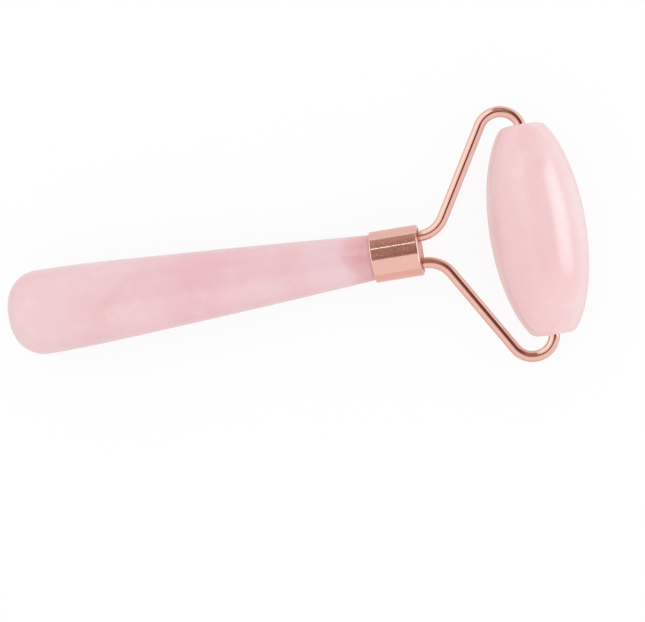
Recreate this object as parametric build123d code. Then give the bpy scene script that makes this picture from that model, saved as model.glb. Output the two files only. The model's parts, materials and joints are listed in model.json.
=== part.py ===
from build123d import *
import os
from math import asin, atan2, cos, degrees, radians, sin, sqrt, tan

# Face roller: a turned stone handle, a plated ferrule, a two-armed wire fork and a barrel-shaped
# stone that spins on the inturned tips of the fork. Millimetres, degrees.
#
# Every piece is drawn in one drawing frame: the origin is the middle of the barrel stone, +Y runs
# along its spin axis, the handle lies along -X, and the fork lies in the plane Z = 0.
# place() then lays the whole roller down on a table, +Z up, as it rests on its own.

# Whole object
overall_length = 126.8

# Barrel stone: an ellipse turned about its long axis and cut flat at both ends
stone_length = 45.0
stone_radius = 10.3
stone_half_axis = 24.95         # of the whole ellipse, before its ends are cut off
stone_edge_round = 2.4
stone_offset = 0.2              # along the spin axis: it settles anywhere within its running play
stone_core_radius = 1.6         # the drilled hole between the two bush seats

# Bushes: plain sleeves pressed into each end of the drilled hole
bush_radius = 2.0
bush_length = 9.0
bush_recess = 1.5               # below the stone's end face
bush_seat_spare = 0.4           # the seat is drilled this much deeper than the bush
seat_mouth_chamfer = 0.3
running_clearance = 0.05        # on radius, between wire and bush
bush_edge_chamfer = 0.15

# Fork arms: round wire bent twice in one plane
wire_radius = 1.2
leg_offset = 2.9                # from the handle's axis to each leg
root_bend_radius = 6.4          # centreline
arm_angle = 59.0                # between the handle's axis and the straight of the arm
corner_bend_radius = 4.7        # centreline
fork_half_width = 26.3          # to the centreline at the outside of the corner bend
tip_gap = 0.5                   # from the wire's tip to the inner end of its bush
tip_round = 0.4
tail_length = 5.7               # behind the ferrule's end
tail_head_radius = 1.6          # the tail's end is upset to a head, which can't pull out
tail_head_length = 0.9

# Ferrule: a sleeve closed by a disc that both legs pass through
ferrule_radius = 5.5
ferrule_length = 10.4
ferrule_wall = 0.7
ferrule_lead = 0.3              # straight wire in front of the ferrule, before the root bend
front_rim_round = 0.4
rear_rim_round = 0.3
disc_thickness = 1.4
disc_recess = 0.08
disc_edge_chamfer = 0.1
leg_hole_clearance = 0.2

# Handle: a slim neck that swells to a wide, rounded end
tenon_length = 4.2              # the ground end that is glued into the sleeve
bond_thickness = 0.15
tenon_chamfer = 0.3
neck_radius = 4.9
neck_taper = 4.0                # degrees, where the neck leaves the ferrule
lower_grip = (22.0, 6.48)       # behind the ferrule, and the radius there
upper_grip = (50.0, 8.27)
wide_radius = 9.25
nose_radius = 18.0
nose_corner_radius = 6.8

# Worked-out places along X
corner_centre = (-corner_bend_radius, fork_half_width - corner_bend_radius)
arm_dx, arm_dy = cos(radians(arm_angle)), sin(radians(arm_angle))
arm_end = (
    corner_centre[0] - corner_bend_radius * arm_dy,
    corner_centre[1] + corner_bend_radius * arm_dx,
)
arm_start_y = leg_offset + root_bend_radius * (1 - arm_dx)
arm_start = (arm_end[0] - (arm_end[1] - arm_start_y) / tan(radians(arm_angle)), arm_start_y)
leg_end_x = arm_start[0] - root_bend_radius * arm_dy
ferrule_front_x = leg_end_x - ferrule_lead
ferrule_rear_x = ferrule_front_x - ferrule_length
disc_front_x = ferrule_front_x - disc_recess
disc_rear_x = disc_front_x - disc_thickness
tenon_end_x = ferrule_rear_x + tenon_length
handle_end_x = stone_radius - overall_length
nose_centre_x = handle_end_x + nose_radius
wide_x = nose_centre_x - sqrt(
    (nose_radius - nose_corner_radius) ** 2 - (wide_radius - nose_corner_radius) ** 2
)
sleeve_bore = ferrule_radius - ferrule_wall
tenon_radius = sleeve_bore - bond_thickness
bush_outer_y = stone_length / 2 - bush_recess
bush_inner_y = bush_outer_y - bush_length

# The roller rests on the stone's crown and on the wide end of the handle, so it lies a little tilted
rest_tilt = degrees(asin((stone_radius - wide_radius) / -wide_x))
spin_axis_x = -(nose_centre_x * cos(radians(rest_tilt)) - nose_radius + stone_radius) / 2
spin_axis_z = stone_radius


def place(shape):
    """Lays a piece from the drawing frame on the table, with the roller's box centred on the origin."""
    return Pos(spin_axis_x, 0, spin_axis_z) * Rot(0, -rest_tilt, 0) * shape


def along_y(radius, start_y, end_y):
    """A round bar on the spin axis, from one Y to another."""
    middle = Pos(0, (start_y + end_y) / 2, 0)
    return middle * Rot(90, 0, 0) * Cylinder(radius, abs(end_y - start_y))


def along_x(radius, start_x, end_x, y=0):
    """A round bar parallel to the handle, from one X to another."""
    middle = Pos((start_x + end_x) / 2, y, 0)
    return middle * Rot(0, 90, 0) * Cylinder(radius, abs(end_x - start_x))


def handle_stone():
    corner = (wide_x, wide_radius - nose_corner_radius)
    turn = atan2(corner[1], corner[0] - nose_centre_x)

    def on_corner(angle):
        return (
            corner[0] + nose_corner_radius * cos(angle),
            corner[1] + nose_corner_radius * sin(angle),
        )

    def on_nose(angle):
        return (nose_centre_x + nose_radius * cos(angle), nose_radius * sin(angle))

    flat, straight_back = radians(90), radians(180)
    outline = [
        Polyline(
            (handle_end_x, 0),
            (tenon_end_x, 0),
            (tenon_end_x, tenon_radius - tenon_chamfer),
            (tenon_end_x - tenon_chamfer, tenon_radius),
            (ferrule_rear_x, tenon_radius),
            (ferrule_rear_x, neck_radius),
        ),
        Spline(
            (ferrule_rear_x, neck_radius),
            (ferrule_rear_x - lower_grip[0], lower_grip[1]),
            (ferrule_rear_x - upper_grip[0], upper_grip[1]),
            (wide_x, wide_radius),
            tangents=[(-cos(radians(neck_taper)), sin(radians(neck_taper))), (-1, 0)],
        ),
        ThreePointArc((wide_x, wide_radius), on_corner((flat + turn) / 2), on_corner(turn)),
        ThreePointArc(on_nose(turn), on_nose((turn + straight_back) / 2), (handle_end_x, 0)),
    ]
    return revolve(make_face(outline), Axis.X)


def handle_bond():
    """The film of adhesive between the tenon and the sleeve."""
    film = along_x(sleeve_bore, ferrule_rear_x, tenon_end_x)
    return film - along_x(tenon_radius, ferrule_rear_x, tenon_end_x)


def ferrule_sleeve():
    centre = Pos((ferrule_rear_x + ferrule_front_x) / 2, ferrule_radius - ferrule_wall / 2)
    wall = centre * Rectangle(ferrule_length, ferrule_wall)
    outer = wall.vertices().sort_by(Axis.Y)[-2:].sort_by(Axis.X)
    wall = fillet(outer[1], front_rim_round)
    rear = wall.vertices().sort_by(Axis.X)[:2].sort_by(Axis.Y)[-1]
    return revolve(fillet(rear, rear_rim_round), Axis.X)


def ferrule_end_disc():
    disc = along_x(sleeve_bore, disc_rear_x, disc_front_x)
    disc = chamfer(disc.edges().sort_by(Axis.X)[-1], disc_edge_chamfer)
    for y in (-leg_offset, leg_offset):
        disc -= along_x(wire_radius + leg_hole_clearance, disc_rear_x, disc_front_x, y)
    return disc


def fork_arm(side):
    """One arm, in four strokes: leg, root bend and straight, corner bend, tip. side is 1 or -1."""
    tail_x = ferrule_front_x - tail_length
    tip_y = bush_inner_y + tip_gap
    half_root = radians(arm_angle / 2)
    root_middle = (
        leg_end_x + root_bend_radius * sin(half_root),
        leg_offset + root_bend_radius * (1 - cos(half_root)),
    )
    half_corner = radians((90 + arm_angle) / 2)
    corner_middle = (
        corner_centre[0] + corner_bend_radius * cos(half_corner),
        corner_centre[1] + corner_bend_radius * sin(half_corner),
    )
    path = [
        Line((tail_x, leg_offset), (leg_end_x, leg_offset)),
        ThreePointArc((leg_end_x, leg_offset), root_middle, arm_start),
        Line(arm_start, arm_end),
        ThreePointArc(arm_end, corner_middle, (0, corner_centre[1])),
        Line((0, corner_centre[1]), (0, tip_y)),
    ]
    section = Plane((tail_x, leg_offset, 0), z_dir=(1, 0, 0)) * Circle(wire_radius)
    wire = sweep(section, path=Wire(path))
    tip_rim = wire.edges().filter_by(GeomType.CIRCLE).sort_by(lambda e: e.center().Y).filter_by(
        lambda e: abs(e.center().Y - tip_y) < 0.01
    )
    wire = fillet(tip_rim, tip_round)
    head = along_x(tail_head_radius, tail_x, tail_x + tail_head_length, leg_offset)
    arm = wire + head
    return arm if side > 0 else mirror(arm, about=Plane.XZ)


def fork_potting():
    """The resin that fills the sleeve between the disc and the handle's tenon."""
    resin = along_x(sleeve_bore, tenon_end_x, disc_rear_x)
    return resin - fork_arm(1) - fork_arm(-1)


def roller_stone():
    half_length = stone_length / 2
    cut_turn = asin(half_length / stone_half_axis)
    turns = [cut_turn * step / 4 for step in range(-4, 5)]
    barrel = Spline(*[(stone_radius * cos(t), stone_half_axis * sin(t)) for t in turns])
    ends = Polyline(barrel @ 1, (0, half_length), (0, -half_length), barrel @ 0)
    outline = make_face([barrel, ends])
    rims = outline.vertices().filter_by(lambda v: v.X > bush_radius)
    outline = fillet(rims, stone_edge_round)
    outline -= Rectangle(2 * stone_core_radius, stone_length)
    seat_length = bush_length + bush_recess + bush_seat_spare
    for side in (-1, 1):
        seat = Pos(0, side * (half_length - seat_length / 2))
        outline -= seat * Rectangle(2 * bush_radius, seat_length)
    mouths = outline.vertices().filter_by(
        lambda v: abs(abs(v.Y) - half_length) < 0.01 and abs(v.X - bush_radius) < 0.01
    )
    return revolve(chamfer(mouths, seat_mouth_chamfer), Axis.Y)


def roller_bush(side):
    bush = along_y(bush_radius, side * bush_inner_y, side * bush_outer_y)
    bush = chamfer(bush.edges().filter_by(GeomType.CIRCLE), bush_edge_chamfer)
    return bush - along_y(wire_radius + running_clearance, side * bush_inner_y, side * bush_outer_y)


def settled(shape):
    """Moves a piece of the roller along the spin axis, to where its running play let it settle."""
    return Pos(0, stone_offset, 0) * shape


pieces = {
    "handle_stone": handle_stone(),
    "handle_bond": handle_bond(),
    "ferrule_sleeve": ferrule_sleeve(),
    "ferrule_end_disc": ferrule_end_disc(),
    "fork_potting": fork_potting(),
    "fork_arm_left": fork_arm(1),
    "fork_arm_right": fork_arm(-1),
    "roller_stone": settled(roller_stone()),
    "roller_bush_left": settled(roller_bush(1)),
    "roller_bush_right": settled(roller_bush(-1)),
}

os.makedirs("parts", exist_ok=True)
for name, shape in pieces.items():
    export_step(place(shape), f"parts/{name}.step")

print("rest tilt", round(rest_tilt, 4), "degrees")
print("spin axis at x", round(spin_axis_x, 4), "z", spin_axis_z)
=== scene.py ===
import json
from math import asin, atan2, cos, degrees, pi, radians, sin, sqrt, tan

import bpy
from mathutils import Matrix, Vector, noise


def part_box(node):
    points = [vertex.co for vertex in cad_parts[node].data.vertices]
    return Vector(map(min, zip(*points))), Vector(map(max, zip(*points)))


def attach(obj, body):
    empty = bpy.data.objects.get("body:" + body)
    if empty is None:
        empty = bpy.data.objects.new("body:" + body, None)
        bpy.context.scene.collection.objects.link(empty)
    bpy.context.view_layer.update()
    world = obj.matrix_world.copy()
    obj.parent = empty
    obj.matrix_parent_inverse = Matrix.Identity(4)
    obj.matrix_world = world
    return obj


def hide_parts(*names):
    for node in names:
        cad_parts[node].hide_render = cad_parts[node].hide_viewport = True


# Looks for the face roller: rose-quartz handle and barrel stone, rose-gold ferrule and wire fork.
# Everything is in metres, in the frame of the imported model. MM turns millimetres into metres.

MM = 0.001

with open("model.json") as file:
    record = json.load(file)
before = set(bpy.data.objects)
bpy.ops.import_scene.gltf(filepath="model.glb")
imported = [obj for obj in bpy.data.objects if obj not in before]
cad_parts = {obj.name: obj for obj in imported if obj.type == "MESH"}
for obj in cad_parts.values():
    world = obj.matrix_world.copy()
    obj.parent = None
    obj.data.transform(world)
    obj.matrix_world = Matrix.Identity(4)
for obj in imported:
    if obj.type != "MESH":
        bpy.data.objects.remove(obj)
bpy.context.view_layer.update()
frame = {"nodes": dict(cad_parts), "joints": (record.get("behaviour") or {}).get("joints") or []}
nodes = frame["nodes"]


# ---------------------------------------------------------------------------------------------
# Small words for building node trees
# ---------------------------------------------------------------------------------------------

def srgb(red, green, blue):
    """A colour named by its 0-255 display values, as the linear values that a shader takes."""
    def linear(value):
        part = value / 255
        return part / 12.92 if part <= 0.04045 else ((part + 0.055) / 1.055) ** 2.4
    return (linear(red), linear(green), linear(blue), 1.0)


def grey(value):
    return (value, value, value, 1.0)


class Tree:
    """A node tree, filled by short calls. Each returns an output to link on, but node() a node."""

    def __init__(self, owner):
        owner.use_nodes = True
        self.nodes = owner.node_tree.nodes
        self.links = owner.node_tree.links
        self.nodes.clear()

    def put(self, socket, value):
        if isinstance(value, bpy.types.NodeSocket):
            self.links.new(value, socket)
        else:
            socket.default_value = value

    def node(self, kind, inputs=None, **settings):
        made = self.nodes.new(kind)
        for name, value in settings.items():
            setattr(made, name, value)
        for name, value in (inputs or {}).items():
            self.put(made.inputs[name], value)
        return made

    def math(self, operation, *values):
        made = self.node("ShaderNodeMath", dict(enumerate(values)), operation=operation)
        return made.outputs[0]

    def vector(self, operation, *values, output=0):
        made = self.node("ShaderNodeVectorMath", dict(enumerate(values)), operation=operation)
        return made.outputs[output]

    def coordinates(self, scale):
        """The piece's own coordinates, times scale."""
        place = self.node("ShaderNodeTexCoord").outputs["Object"]
        return self.vector("MULTIPLY", place, (scale, scale, scale))

    def noise(self, place, scale, detail=2.0, roughness=0.5, distortion=0.0):
        inputs = {
            "Vector": place, "Scale": scale, "Detail": detail,
            "Roughness": roughness, "Distortion": distortion,
        }
        return self.node("ShaderNodeTexNoise", inputs).outputs[0]

    def smooth(self, value, low, high, start=0.0, end=1.0):
        """start below low, end above high, and a smooth step between. low may be above high."""
        if low > high:
            low, high, start, end = high, low, end, start
        inputs = {"Value": value, "From Min": low, "From Max": high, "To Min": start, "To Max": end}
        made = self.node("ShaderNodeMapRange", inputs, interpolation_type="SMOOTHSTEP")
        return made.outputs[0]

    def blend(self, amount, first, second, mode="MIX"):
        made = self.node("ShaderNodeMix", data_type="RGBA", blend_type=mode)
        colours = [socket for socket in made.inputs if socket.type == "RGBA"]
        self.put(made.inputs[0], amount)
        self.put(colours[0], first)
        self.put(colours[1], second)
        return [socket for socket in made.outputs if socket.type == "RGBA"][0]


# ---------------------------------------------------------------------------------------------
# Camera
# ---------------------------------------------------------------------------------------------

spin_joint = frame["joints"][0]
spin_axis = Vector(spin_joint["pos_m"])
stone_radius = spin_axis.z
handle_low, handle_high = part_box("handle_stone")
wide_radius = (handle_high.y - handle_low.y) / 2

# The handle's rounded end, a shallow nose with a tighter corner round it, gives the widest place, and
# so the angle at which the roller rests. nose_centre and widest are along the handle's own axis.
nose_radius, corner_radius = 18.0 * MM, 6.8 * MM
nose_centre = handle_low.x - spin_axis.x + nose_radius
widest = nose_centre - sqrt((nose_radius - corner_radius) ** 2 - (wide_radius - corner_radius) ** 2)
rest_tilt = asin((stone_radius - wide_radius) / -widest)


CAMERA_LEAN = 8.0                           # degrees from straight above the roller, towards +X
CAMERA_ROLL = 9.2                           # degrees, which lowers the handle's end in the picture
CAMERA_DISTANCE = 529.4 * MM
CAMERA_AIM = Vector((-48.36, -9.57, -0.46)) * MM    # from the middle of the barrel stone
PICTURE_PIXELS = 645                        # across the picture
PIXEL_SIZE = 0.2151 * MM                    # of what one pixel shows, at the roller


def make_camera():
    """Looks down on the roller, a little from beyond the barrel stone."""
    lean = radians(CAMERA_LEAN) - rest_tilt
    roll = radians(CAMERA_ROLL)
    back = Vector((sin(lean), 0, cos(lean)))
    level = Vector((cos(lean), 0, -sin(lean)))
    across = back.cross(level)
    right = level * cos(roll) - across * sin(roll)
    up = level * sin(roll) + across * cos(roll)
    camera = bpy.data.cameras.new("camera")
    camera.sensor_width = 36
    camera.lens = camera.sensor_width * CAMERA_DISTANCE / (PIXEL_SIZE * PICTURE_PIXELS)
    camera.clip_start = 10 * MM
    holder = bpy.data.objects.new("camera", camera)
    turn = Matrix((right, up, back)).transposed().to_4x4()
    place = spin_axis + CAMERA_AIM + back * CAMERA_DISTANCE
    holder.matrix_world = Matrix.Translation(place) @ turn
    bpy.context.scene.collection.objects.link(holder)
    bpy.context.scene.camera = holder


make_camera()


# ---------------------------------------------------------------------------------------------
# Studio: a pale, glowing floor and soft, even light from all round. What polished surfaces mirror
# is a studio of its own: a white window, a brown room above, two dark lenses, a floor with a bright
# pool of light, and five soft lamps that each show only in some of the pieces.
# ---------------------------------------------------------------------------------------------

WHITE = grey(1.0)
BACKDROP = grey(0.985)
SOFT_BEHIND, SOFT_AHEAD = grey(1.02), grey(1.17)        # the soft light from -X and from +X
WINDOW_WHITE = (1.25, 1.42, 1.45, 1.0)
ROOM_BROWN_HIGH = (0.38, 0.25, 0.22, 1.0)
ROOM_BROWN_LOW = (0.50, 0.37, 0.32, 1.0)
LENS_BROWN = (0.17, 0.07, 0.055, 1.0)
LAMP_WHITE = (0.62, 1.0, 1.0)                           # keeps what pink and gold mirror of it white

# Round spots: azimuth and zenith of the middle, and the radii of the full and the faded spot, degrees
WINDOW_SPOT = (150, 75, 20, 62)
LENS_SPOTS = ((-30, 9, 11, 16), (34, 41, 17, 24))

# The room's sides, as parts of a unit vector: where it has faded out, and where it is full
ROOM_BACK, ROOM_FRONT = (-0.20, -0.13), (0.78, 0.60)    # along X
ROOM_RIGHT = (-0.28, -0.22)                             # along Y
ROOM_FOOT = (0.06, 0.18)                                # along Z
ROOM_SHADE = (0.80, 0.30)                               # along Z, from its high to its low brown


def direction(azimuth, zenith):
    """The unit vector that leans zenith degrees from straight up, towards an azimuth from +X."""
    a, t = radians(azimuth), radians(zenith)
    return Vector((sin(t) * cos(a), sin(t) * sin(a), cos(t)))


def make_world():
    world = bpy.data.worlds.new("studio")
    bpy.context.scene.world = world
    tree = Tree(world)
    way = tree.node("ShaderNodeTexCoord").outputs["Generated"]
    x, y, z = tree.node("ShaderNodeSeparateXYZ", {0: way}).outputs[:3]

    def spot(azimuth, zenith, inner, outer):
        """1 within inner degrees of a direction, 0 beyond outer degrees."""
        near = tree.vector("DOT_PRODUCT", way, direction(azimuth, zenith), output=1)
        return tree.smooth(near, cos(radians(outer)), cos(radians(inner)))

    def product(first, *others):
        for other in others:
            first = tree.math("MULTIPLY", first, other)
        return first

    mirrored = tree.blend(spot(*WINDOW_SPOT), WHITE, WINDOW_WHITE)
    room = product(
        tree.smooth(x, *ROOM_BACK), tree.smooth(x, *ROOM_FRONT),
        tree.smooth(y, *ROOM_RIGHT), tree.smooth(z, *ROOM_FOOT),
    )
    brown = tree.blend(tree.smooth(z, *ROOM_SHADE), ROOM_BROWN_HIGH, ROOM_BROWN_LOW)
    mirrored = tree.blend(room, mirrored, brown)
    for lens in LENS_SPOTS:
        mirrored = tree.blend(spot(*lens), mirrored, LENS_BROWN)

    rays = tree.node("ShaderNodeLightPath").outputs
    soft = tree.blend(tree.smooth(x, -1, 1), SOFT_BEHIND, SOFT_AHEAD)
    light = tree.blend(rays["Is Glossy Ray"], soft, mirrored)
    light = tree.blend(rays["Is Camera Ray"], light, BACKDROP)
    glow = tree.node("ShaderNodeBackground", {"Color": light, "Strength": 1.0})
    tree.node("ShaderNodeOutputWorld", {"Surface": glow.outputs[0]})


FLOOR_HALF = 2000 * MM
GLOW_SHARE, GLOW_SEEN, GLOW_MIRRORED = 0.3, 0.85, 0.8   # how much of the floor's look is its glow
GLOW_SIDES = (-30, 30)                      # mm along Y, from its right side to its left
GLOW_RIGHT, GLOW_LEFT = grey(0.5), grey(0.9)
MIRRORED_RIGHT, MIRRORED_LEFT = (0.88, 0.75, 0.73, 1.0), grey(0.9)
POOL_NEAR, POOL_FAR = (14, 34), (150, 90)   # mm ahead of the spin axis: faded out, and full
POOL_GLOW = (1.2, 2.6, 2.6, 1.0)
POOL_MIRRORED = (1.0, 1.54, 1.54, 1.0)


def pale_floor():
    """Matte and evenly glowing to the camera. What it lights and what mirrors it gets a dimmer glow
    that is brighter on the left, with a bright pool ahead of the barrel stone."""
    material = bpy.data.materials.new("pale_floor")
    tree = Tree(material)
    place = tree.coordinates(1 / MM)
    grain = tree.noise(place, 0.6, detail=3)
    paint = tree.blend(grain, srgb(246, 246, 246), srgb(250, 250, 250))
    matte = tree.node("ShaderNodeBsdfDiffuse", {"Color": paint})
    x, y = tree.node("ShaderNodeSeparateXYZ", {0: place}).outputs[:2]
    ahead = tree.math("SUBTRACT", x, spin_axis.x / MM)
    pool = tree.math("MULTIPLY", tree.smooth(ahead, *POOL_NEAR), tree.smooth(ahead, *POOL_FAR))
    left = tree.smooth(y, *GLOW_SIDES)
    soft = tree.blend(left, GLOW_RIGHT, GLOW_LEFT)
    soft = tree.blend(pool, soft, POOL_GLOW)
    mirrored = tree.blend(left, MIRRORED_RIGHT, MIRRORED_LEFT)
    mirrored = tree.blend(pool, mirrored, POOL_MIRRORED)
    rays = tree.node("ShaderNodeLightPath").outputs
    seen, glossy = rays["Is Camera Ray"], rays["Is Glossy Ray"]
    colour = tree.blend(glossy, soft, mirrored)
    colour = tree.blend(seen, colour, WHITE)
    glow = tree.node("ShaderNodeEmission", {"Color": colour, "Strength": 1.0})
    share = tree.math("MULTIPLY_ADD", seen, GLOW_SEEN - GLOW_SHARE, GLOW_SHARE)
    share = tree.math("MULTIPLY_ADD", glossy, GLOW_MIRRORED - GLOW_SHARE, share)
    mixed = tree.node("ShaderNodeMixShader", {0: share, 1: matte.outputs[0], 2: glow.outputs[0]})
    tree.node("ShaderNodeOutputMaterial", {"Surface": mixed.outputs[0]})
    return material


def make_floor():
    low, high = -FLOOR_HALF, FLOOR_HALF
    mesh = bpy.data.meshes.new("floor")
    mesh.from_pydata(
        [(low, low, 0), (high, low, 0), (high, high, 0), (low, high, 0)], [], [(0, 1, 2, 3)],
    )
    mesh.materials.append(pale_floor())
    floor = bpy.data.objects.new("floor", mesh)
    bpy.context.scene.collection.objects.link(floor)


def lit_group(name, *members):
    """A collection of pieces that a lamp can be kept to."""
    group = bpy.data.collections.new(name)
    for member in members:
        group.objects.link(nodes[member])
    return group


def make_lamp(name, azimuth, zenith, distance, size, radiance, lit):
    """A rectangular lamp that faces the barrel stone and shows only in the polish of the lit group.
    size is (level side, upright side), in mm as distance is."""
    lamp = bpy.data.lights.new(name, "AREA")
    lamp.shape = "RECTANGLE"
    lamp.size, lamp.size_y = size[0] * MM, size[1] * MM
    lamp.color = LAMP_WHITE
    lamp.energy = radiance * pi * lamp.size * lamp.size_y
    holder = bpy.data.objects.new(name, lamp)
    away = direction(azimuth, zenith)
    place = Matrix.Translation(spin_axis + away * (distance * MM))
    holder.matrix_world = place @ away.to_track_quat("Z", "Y").to_matrix().to_4x4()
    holder.visible_diffuse = False
    holder.light_linking.receiver_collection = lit
    bpy.context.scene.collection.objects.link(holder)


stones = lit_group("stones")
wires = lit_group("wires", "fork_arm_left", "fork_arm_right")
ferrule = lit_group("ferrule", "ferrule_sleeve")
but_right_arm = lit_group("but_right_arm", "ferrule_sleeve", "ferrule_end_disc", "fork_arm_left")
make_world()
make_floor()
make_lamp("key_lamp", 6, 61, 300, (260, 200), 2.4, stones)
make_lamp("core_lamp", 10, 61, 290, (200, 90), 1.1, stones)
make_lamp("strip_lamp", 101, 38, 510, (180, 18), 3.2, but_right_arm)
make_lamp("glint_lamp", 2, 67, 300, (210, 70), 3.2, wires)
make_lamp("rim_lamp", 0, 64, 300, (560, 80), 2.6, ferrule)


# ---------------------------------------------------------------------------------------------
# Stones: each is turned again from the outline of its CAD solid, in fine, even quads, and polished
# by hand, so that it is never perfectly true
# ---------------------------------------------------------------------------------------------

TURN_STEPS = 144                            # round each stone
NOSE_STEPS, CORNER_STEPS, SIDE_STEPS, TENON_STEPS = 14, 16, 24, 2
CROWN_STEPS, RIM_STEPS, BORE_STEPS = 40, 8, 3
POLISH_DEPTH = 0.03 * MM                    # how far polishing went below the turned surface
POLISH_PATCH = 7.0 * MM                     # how far apart the deep places are
POLISH_FADE = 6.0 * MM                      # how soon polishing fades towards a place that stays true
SHARP_ANGLE = 30                            # degrees between two faces with an edge, not a round
ON_AXIS = 1e-6 * MM                         # a point of an outline this near the axis is on it


def arc(centre, radius, start, end, steps):
    """Points round a centre, from one angle to another in degrees."""
    angles = [radians(start + (end - start) * step / steps) for step in range(steps + 1)]
    return [(centre[0] + radius * cos(a), centre[1] + radius * sin(a)) for a in angles]


def straight(start, end, steps):
    """Points along a line, without its start."""
    shares = [step / steps for step in range(1, steps + 1)]
    return [tuple(a + (b - a) * share for a, b in zip(start, end)) for share in shares]


def smooth_line(knots, first_slope, last_slope, steps):
    """The cubic spline through four knots with a slope given at each end, without its first point."""
    (x0, y0), (x1, y1), (x2, y2), (x3, y3) = knots
    a, b, c = x1 - x0, x2 - x1, x3 - x2
    first = 3 * ((y1 - y0) * b / a + (y2 - y1) * a / b) - first_slope * b
    second = 3 * ((y2 - y1) * c / b + (y3 - y2) * b / c) - last_slope * b
    whole = 4 * (a + b) * (b + c) - a * c
    slope1 = (2 * (b + c) * first - a * second) / whole
    slope2 = (2 * (a + b) * second - c * first) / whole
    points = []
    slopes = [first_slope, slope1, slope2, last_slope]
    for (xa, ya), (xb, yb), sa, sb in zip(knots, knots[1:], slopes, slopes[1:]):
        width = xb - xa
        for step in range(1, steps + 1):
            t = step / steps
            rise = (3 - 2 * t) * t * t * (yb - ya)
            bend = t * (1 - t) * ((1 - t) * sa - t * sb) * width
            points.append((xa + width * t, ya + rise + bend))
    return points


def neck_place():
    """Where the handle leaves the ferrule, along its own axis from the spin axis."""
    low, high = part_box("ferrule_sleeve")
    radius = (high.y - low.y) / 2
    half_length = ((high.x - low.x) / 2 - radius * sin(rest_tilt)) / cos(rest_tilt)
    return -((low + high) / 2 - spin_axis).length - half_length


def handle_outline(neck):
    """From the tip of the nose to the middle of the tenon, as (along, out)."""
    neck_radius, neck_slope = 4.9 * MM, -tan(radians(4.0))
    lower_grip = (neck - 22.0 * MM, 6.48 * MM)
    upper_grip = (neck - 50.0 * MM, 8.27 * MM)
    tenon_radius, tenon_end, chamfer = 4.65 * MM, neck + 4.2 * MM, 0.3 * MM

    corner = (widest, wide_radius - corner_radius)
    turn = degrees(atan2(corner[1], corner[0] - nose_centre))
    outline = arc((nose_centre, 0), nose_radius, 180, turn, NOSE_STEPS)
    outline += arc(corner, corner_radius, turn, 90, CORNER_STEPS)[1:]
    side = [(widest, wide_radius), upper_grip, lower_grip, (neck, neck_radius)]
    outline += smooth_line(side, 0.0, neck_slope, SIDE_STEPS)
    tenon = [
        (neck, tenon_radius), (tenon_end - chamfer, tenon_radius),
        (tenon_end, tenon_radius - chamfer), (tenon_end, 0),
    ]
    for start, end in zip([outline[-1]] + tenon, tenon):
        outline += straight(start, end, TENON_STEPS)
    return outline


def barrel_outline():
    """Once round the barrel stone's section, as (along, out): its side, an end, its bore, an end."""
    half_length, half_axis, edge = (roller_high.y - roller_low.y) / 2, 24.95 * MM, 2.4 * MM
    core, seat, seat_length, chamfer = 1.6 * MM, 2.0 * MM, 10.9 * MM, 0.3 * MM

    def crown(along):
        return stone_radius * sqrt(1 - (along / half_axis) ** 2)

    # Finds, by coming nearer, the place where a round that touches the end face touches the crown
    rim = half_length - edge
    for _ in range(20):
        lean = atan2(rim * (stone_radius / half_axis) ** 2, crown(rim))
        rim = half_length - edge + edge * sin(lean)
    rim_centre = (half_length - edge, crown(rim) - edge * cos(lean))
    rim_round = arc(rim_centre, edge, 90 - degrees(lean), 0, RIM_STEPS)
    last_turn = asin(rim / half_axis)
    turns = [last_turn * step / CROWN_STEPS for step in range(-CROWN_STEPS, CROWN_STEPS)]
    outline = [(half_axis * sin(t), stone_radius * cos(t)) for t in turns] + rim_round
    seat_end = half_length - seat_length
    bore = [
        (half_length, seat + chamfer), (half_length - chamfer, seat), (seat_end, seat),
        (seat_end, core), (-seat_end, core), (-seat_end, seat),
        (chamfer - half_length, seat), (-half_length, seat + chamfer),
    ]
    for start, end in zip([outline[-1]] + bore, bore):
        outline += straight(start, end, BORE_STEPS)
    other_round = [(-along, out) for along, out in reversed(rim_round)]
    return outline + straight(outline[-1], other_round[0], BORE_STEPS)[:-1] + other_round[:-1]


def turned_places(outline, middle, axis, polish):
    """The points of an outline turned about an axis, and for each of its points the ring it made."""
    level = Vector((0, 0, 1)).cross(axis).normalized()
    upright = axis.cross(level)
    places, rings = [], []
    for along, out in outline:
        if abs(out) < ON_AXIS:
            rings.append([len(places)] * TURN_STEPS)
            places.append(middle + axis * along)
            continue
        rings.append(list(range(len(places), len(places) + TURN_STEPS)))
        for step in range(TURN_STEPS):
            angle = 2 * pi * step / TURN_STEPS
            spoke = level * cos(angle) + upright * sin(angle)
            place = middle + axis * along + spoke * out
            depth = 0.5 + 0.5 * noise.noise((place - middle) / POLISH_PATCH)
            places.append(place - spoke * depth * POLISH_DEPTH * polish(along, out))
    return places, rings


def turned(name, outline, middle, axis, closed, polish):
    """The solid that an outline makes when it is turned about an axis through its middle.
    polish(along, out) is how much the polishing took at a point of the outline, from 0 to 1."""
    places, rings = turned_places(outline, middle, axis, polish)
    faces = []
    for ring, other in zip(rings, rings[1:] + (rings[:1] if closed else [])):
        for step in range(TURN_STEPS):
            after = (step + 1) % TURN_STEPS
            corners = [ring[step], ring[after], other[after], other[step]]
            faces.append(list(dict.fromkeys(corners)))      # a triangle where a ring is one point
    mesh = bpy.data.meshes.new(name)
    mesh.from_pydata(places, [], faces)
    mesh.validate()
    mesh.shade_smooth()
    mesh.set_sharp_from_angle(angle=radians(SHARP_ANGLE))
    piece = bpy.data.objects.new(name, mesh)
    bpy.context.scene.collection.objects.link(piece)
    return piece


def fading(depth):
    """0 at a place that must stay true, 1 from POLISH_FADE away."""
    return max(0.0, min(1.0, depth / POLISH_FADE))


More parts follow.
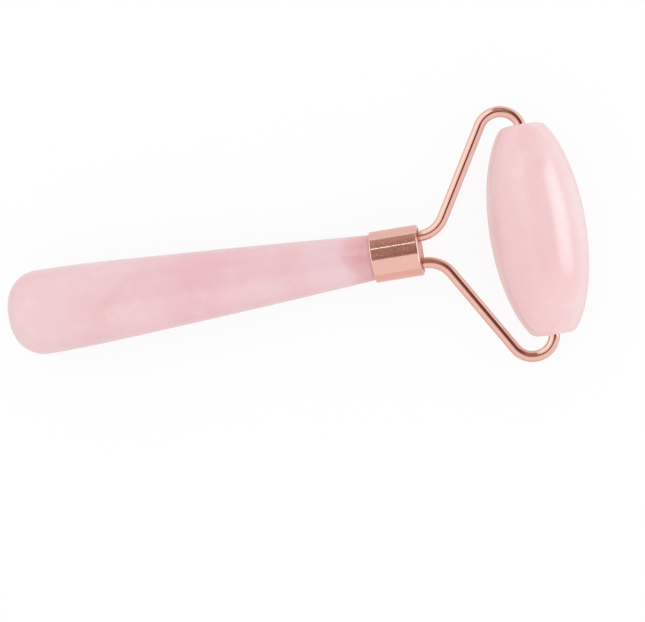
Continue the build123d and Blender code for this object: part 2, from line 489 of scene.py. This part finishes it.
neck = neck_place()
handle_line = handle_outline(neck)
handle_tip = handle_line[0][0]
handle_piece = turned(
    "turned_handle", handle_line, spin_axis, Vector((cos(rest_tilt), 0, sin(rest_tilt))),
    closed=False, polish=lambda along, out: fading(along - handle_tip) * fading(neck - along),
)
roller_low, roller_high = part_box("roller_stone")
roller_line = barrel_outline()
crown_end = -roller_line[0][0]
roller_piece = turned(
    "turned_roller", roller_line, (roller_low + roller_high) / 2, Vector((0, 1, 0)),
    closed=True, polish=lambda along, out: fading(crown_end - abs(along)) * (out > stone_radius / 2),
)
for piece, node, body, slot in (
    (handle_piece, "handle_stone", "handle_and_fork", "rose_quartz_handle"),
    (roller_piece, "roller_stone", "roller", "rose_quartz_roller"),
):
    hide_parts(node)
    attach(piece, body)
    stones.objects.link(piece)
    but_right_arm.objects.link(piece)

# The wires mirror the studio, not the stone beside them
for piece in (roller_piece, nodes["roller_bush_left"], nodes["roller_bush_right"]):
    piece.visible_glossy = False


# ---------------------------------------------------------------------------------------------
# Materials. Noise scales are per mm: 0.07 makes clouds about 14 mm apart, 1.6 a grain of 0.6 mm.
# ---------------------------------------------------------------------------------------------

STIR = 9.0                                  # mm, how far the stone's pattern was stirred about
PATCH_HEIGHT = 15                           # mm above the floor, just under the handle's top
PATCH_DEPTH = 9                             # mm, where a patch has faded by half
PATCH_EDGE, PATCH_CORE = 1.4, 0.3           # in half sizes of a patch: faded out, and full
HANDLE_DARK, HANDLE_LIGHT = srgb(230, 190, 193), srgb(232, 196, 199)
BARREL_DARK, BARREL_LIGHT = srgb(236, 196, 197), srgb(237, 203, 203)
MILK, VEIN, GRAIN = srgb(243, 216, 217), srgb(230, 188, 191), srgb(228, 184, 188)
GOLD_DARK, GOLD_LIGHT, DISC_EDGE = srgb(235, 184, 170), srgb(238, 189, 175), srgb(248, 232, 230)
RESIN_AMBER, NYLON_WHITE, RESIN_SHADE = srgb(206, 188, 150), srgb(232, 230, 224), srgb(120, 100, 80)


def stirred(tree, place):
    """A place in the stone before it was stirred, which makes the edges of its clouds wander."""
    push = tree.node("ShaderNodeTexNoise", {"Vector": place, "Scale": 0.09, "Detail": 3.0}).outputs[1]
    push = tree.vector("SUBTRACT", push, (0.5, 0.5, 0.5))
    return tree.vector("ADD", place, tree.vector("MULTIPLY", push, (STIR, STIR, STIR)))


def with_patches(tree, place, colour, patches):
    """Lays each patch over a colour, as an ellipse with soft edges."""
    x, y, z = tree.node("ShaderNodeSeparateXYZ", {0: place}).outputs[:3]
    depth = tree.math("DIVIDE", tree.math("SUBTRACT", z, PATCH_HEIGHT), PATCH_DEPTH)
    for (middle_x, middle_y), (half_x, half_y), slant, tint, amount in patches:
        across = tree.math("DIVIDE", tree.math("SUBTRACT", y, middle_y), half_y)
        lean = tree.math("MULTIPLY", across, slant * half_y)
        along = tree.math("SUBTRACT", tree.math("SUBTRACT", x, middle_x), lean)
        along = tree.math("DIVIDE", along, half_x)
        offset = tree.node("ShaderNodeCombineXYZ", {0: along, 1: across, 2: depth}).outputs[0]
        near = tree.smooth(tree.vector("LENGTH", offset, output=1), PATCH_EDGE, PATCH_CORE)
        colour = tree.blend(tree.math("MULTIPLY", near, amount), colour, tint)
    return colour


def with_veins(tree, place, stirred_place, colour):
    """Adds milky wisps, thin veins and a fine grain."""
    milk = tree.noise(stirred_place, 0.22, detail=4, roughness=0.6)
    colour = tree.blend(tree.smooth(milk, 0.5, 0.75, 0.0, 0.25), colour, MILK)
    veins = tree.noise(stirred_place, 0.13, detail=5, roughness=0.55, distortion=0.5)
    ridge = tree.math("ABSOLUTE", tree.math("SUBTRACT", veins, 0.5))
    colour = tree.blend(tree.smooth(ridge, 0.05, 0.0, 0.0, 0.14), colour, VEIN)
    grain = tree.noise(place, 1.6, detail=3)
    return tree.blend(tree.smooth(grain, 0.35, 0.65, 0.0, 0.06), colour, GRAIN)


def rose_quartz(name, dark, light, patches):
    """Milky pink stone, between two colours. patches lie in its upper half: clouds, darker places
    next to the ferrule, and painted shade on the barrel. Each has its middle and half size along X
    and Y in mm, how far it slants, its colour and how much shows."""
    material = bpy.data.materials.new(name)
    tree = Tree(material)
    place = tree.coordinates(1 / MM)
    stirred_place = stirred(tree, place)
    clouds = tree.noise(stirred_place, 0.07, detail=3)
    colour = tree.blend(tree.smooth(clouds, 0.3, 0.7), dark, light)
    colour = with_patches(tree, stirred_place, colour, patches)
    colour = with_veins(tree, place, stirred_place, colour)

    polish = tree.noise(place, 0.5, detail=3)
    waves = tree.noise(place, 0.12, detail=1)
    bump = tree.node("ShaderNodeBump", {"Strength": 0.05, "Distance": 0.4 * MM, "Height": waves})
    stone = tree.node("ShaderNodeBsdfPrincipled", {
        "Base Color": colour,
        "Roughness": tree.smooth(polish, 0.3, 0.7, 0.17, 0.23),
        "IOR": 1.54,
        "Subsurface Weight": 0.35,
        "Subsurface Radius": (1.0, 0.6, 0.55),
        "Subsurface Scale": 1.5 * MM,
        "Normal": bump.outputs[0],
    })
    tree.node("ShaderNodeOutputMaterial", {"Surface": stone.outputs[0]})
    return material


def rose_gold(name, roughness, pitting, edge_tint=WHITE):
    """Plated metal with slight smudges. pitting is how much rougher its fine pits are. edge_tint
    colours what it mirrors at a grazing angle."""
    material = bpy.data.materials.new(name)
    tree = Tree(material)
    place = tree.coordinates(1 / MM)
    tone = tree.noise(place, 0.8, detail=2)
    colour = tree.blend(tone, GOLD_DARK, GOLD_LIGHT)
    smudge = tree.noise(place, 0.5, detail=4)
    smudge = tree.smooth(smudge, 0.3, 0.7, roughness, roughness * 1.5)
    pits = tree.smooth(tree.noise(place, 4.0, detail=2), 0.55, 0.75, 0.0, pitting)
    peel = tree.noise(place, 3.0, detail=2)
    bump = tree.node("ShaderNodeBump", {"Strength": 0.06, "Distance": 0.03 * MM, "Height": peel})
    metal = tree.node("ShaderNodeBsdfPrincipled", {
        "Base Color": colour,
        "Metallic": 1.0,
        "Specular Tint": edge_tint,
        "Roughness": tree.math("ADD", smudge, pits),
        "Normal": bump.outputs[0],
    })
    tree.node("ShaderNodeOutputMaterial", {"Surface": metal.outputs[0]})
    return material


def plain_resin(name, colour, roughness):
    """A plastic or resin that is a little darker in places."""
    material = bpy.data.materials.new(name)
    tree = Tree(material)
    cloud = tree.noise(tree.coordinates(1 / MM), 0.7, detail=3)
    shade = tree.blend(tree.smooth(cloud, 0.3, 0.7, 0.0, 0.25), colour, RESIN_SHADE)
    resin = tree.node("ShaderNodeBsdfPrincipled", {"Base Color": shade, "Roughness": roughness})
    tree.node("ShaderNodeOutputMaterial", {"Surface": resin.outputs[0]})
    return material


wide_end, neck_end = handle_low.x / MM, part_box("ferrule_sleeve")[0].x / MM
barrel_middle = spin_axis.x / MM
handle_patches = [
    ((wide_end + 8, -3), (11, 8), 0.2, srgb(232, 206, 206), 0.65),
    ((wide_end + 20, 6), (9, 6), 0.3, srgb(231, 203, 204), 0.55),
    ((wide_end + 22, -2), (2.2, 5.5), 0.8, srgb(226, 188, 189), 0.65),
    ((wide_end + 33, 0), (6, 5), 0.5, srgb(230, 199, 201), 0.45),
    ((wide_end + 44, 3), (8, 9), 0.4, srgb(229, 183, 189), 0.75),
    ((wide_end + 42, -6), (6, 5), 0.2, srgb(229, 184, 189), 0.6),
    ((wide_end + 58, -3), (5, 5), 0.1, srgb(230, 200, 204), 0.6),
    ((wide_end + 62, 0), (2.6, 6), 0.1, srgb(229, 187, 189), 0.6),
    ((neck_end - 9, 0), (6, 7), -0.2, srgb(229, 200, 205), 0.75),
    ((neck_end - 4.5, -3), (2.2, 3), 0.2, srgb(228, 206, 210), 0.5),
    # The last two darken the stone right next to the ferrule.
    ((neck_end - 1.5, 2), (4.1, 7), -0.3, srgb(219, 161, 164), 0.9),
    ((neck_end - 1.6, -4), (4.0, 6), 0.1, srgb(218, 165, 168), 0.95),
]
# On the barrel, a darker pink cloud over the left of its top: painted shade, which evens out the
# brighter reflection there.
barrel_painted_shade = [((barrel_middle - 4.5, 4), (4.0, 18), 0.0, srgb(231, 187, 189), 0.55)]

handle_quartz = rose_quartz("rose_quartz_handle", HANDLE_DARK, HANDLE_LIGHT, handle_patches)
barrel_quartz = rose_quartz("rose_quartz_roller", BARREL_DARK, BARREL_LIGHT, barrel_painted_shade)
ferrule_gold = rose_gold("rose_gold_ferrule", roughness=0.07, pitting=0.3)
disc_gold = rose_gold("rose_gold_disc", roughness=0.35, pitting=0.3, edge_tint=DISC_EDGE)
wire_gold = rose_gold("rose_gold_wire", roughness=0.08, pitting=0.05)
clear_resin = plain_resin("clear_resin", RESIN_AMBER, roughness=0.25)
white_nylon = plain_resin("white_nylon", NYLON_WHITE, roughness=0.45)

for name, finish in {
    "handle_stone": handle_quartz,
    "handle_bond": clear_resin,
    "ferrule_sleeve": ferrule_gold,
    "ferrule_end_disc": disc_gold,
    "fork_potting": clear_resin,
    "fork_arm_left": wire_gold,
    "fork_arm_right": wire_gold,
    "roller_stone": barrel_quartz,
    "roller_bush_left": white_nylon,
    "roller_bush_right": white_nylon,
}.items():
    nodes[name].data.materials.clear()
    nodes[name].data.materials.append(finish)
handle_piece.data.materials.append(handle_quartz)
roller_piece.data.materials.append(barrel_quartz)

bpy.context.scene.view_settings.view_transform = "Standard"
